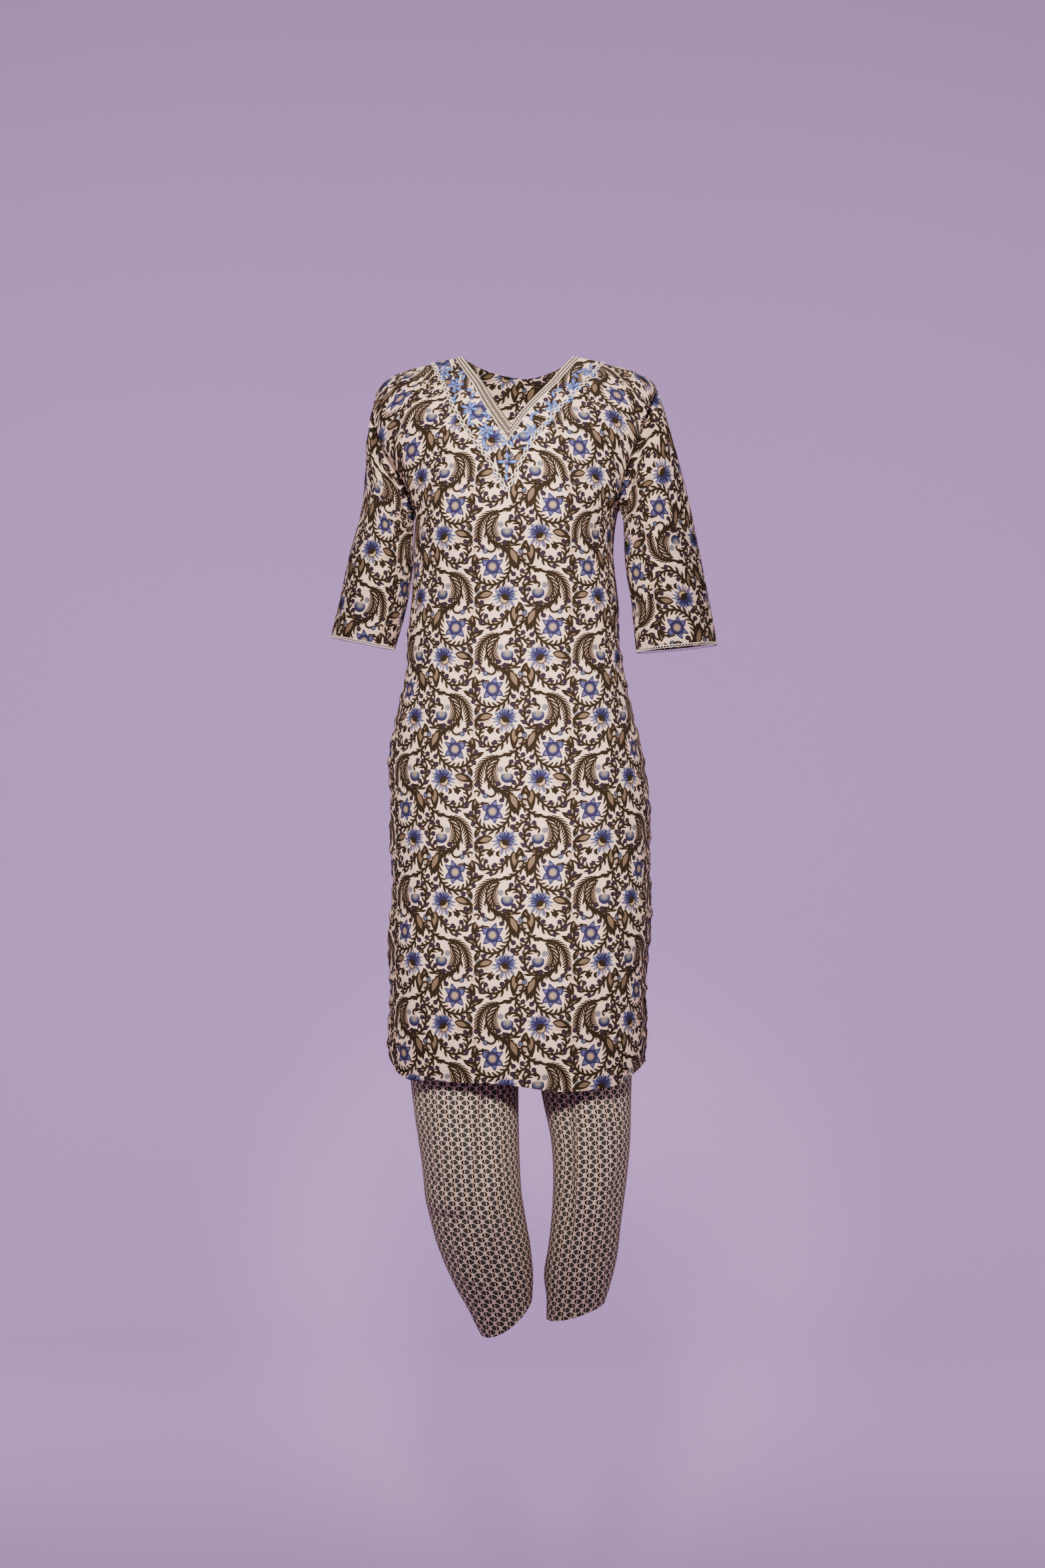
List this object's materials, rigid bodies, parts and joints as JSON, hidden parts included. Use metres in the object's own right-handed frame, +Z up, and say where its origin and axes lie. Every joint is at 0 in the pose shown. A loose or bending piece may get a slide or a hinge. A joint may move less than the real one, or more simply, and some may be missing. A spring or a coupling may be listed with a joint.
{
  "type": "salwar kameez suit",
  "caption": "Hollow worn salwar kameez suit: knee-length tunic with V neck, flat yoke trim, elbow sleeves and side slits, over narrow ankle-length trousers.",
  "frame": {"origin": "between the two neck points of the shoulder seams, at their height, where the wearer's shoulders hold the suit up", "axes": "+Z up along the wearer, -Y the way the wearer faces, +X to the right of a viewer who faces the wearer"},
  "size_m": [0.5185, 0.2634, 1.3197],
  "materials": {
    "kameez_cloth": "matte printed cotton",
    "yoke_cloth": "matte printed cotton with thread embroidery",
    "white_lace": "matte cotton lace",
    "salwar_cloth": "matte printed cotton"
  },
  "bodies": {
    "root": {"kameez_front": "kameez_cloth", "kameez_back": "kameez_cloth", "sleeve_left": "kameez_cloth", "sleeve_right": "kameez_cloth", "sleeve_lace_left": "white_lace", "sleeve_lace_right": "white_lace", "neck_binding_left": "kameez_cloth", "neck_binding_right": "kameez_cloth", "neck_piping_left": "white_lace", "neck_piping_right": "white_lace", "yoke_band_left": "yoke_cloth", "yoke_band_right": "yoke_cloth", "yoke_lace_left": "white_lace", "yoke_lace_right": "white_lace", "salwar_leg_left": "salwar_cloth", "salwar_leg_right": "salwar_cloth", "salwar_waistband": "salwar_cloth"}
  },
  "joints": []
}
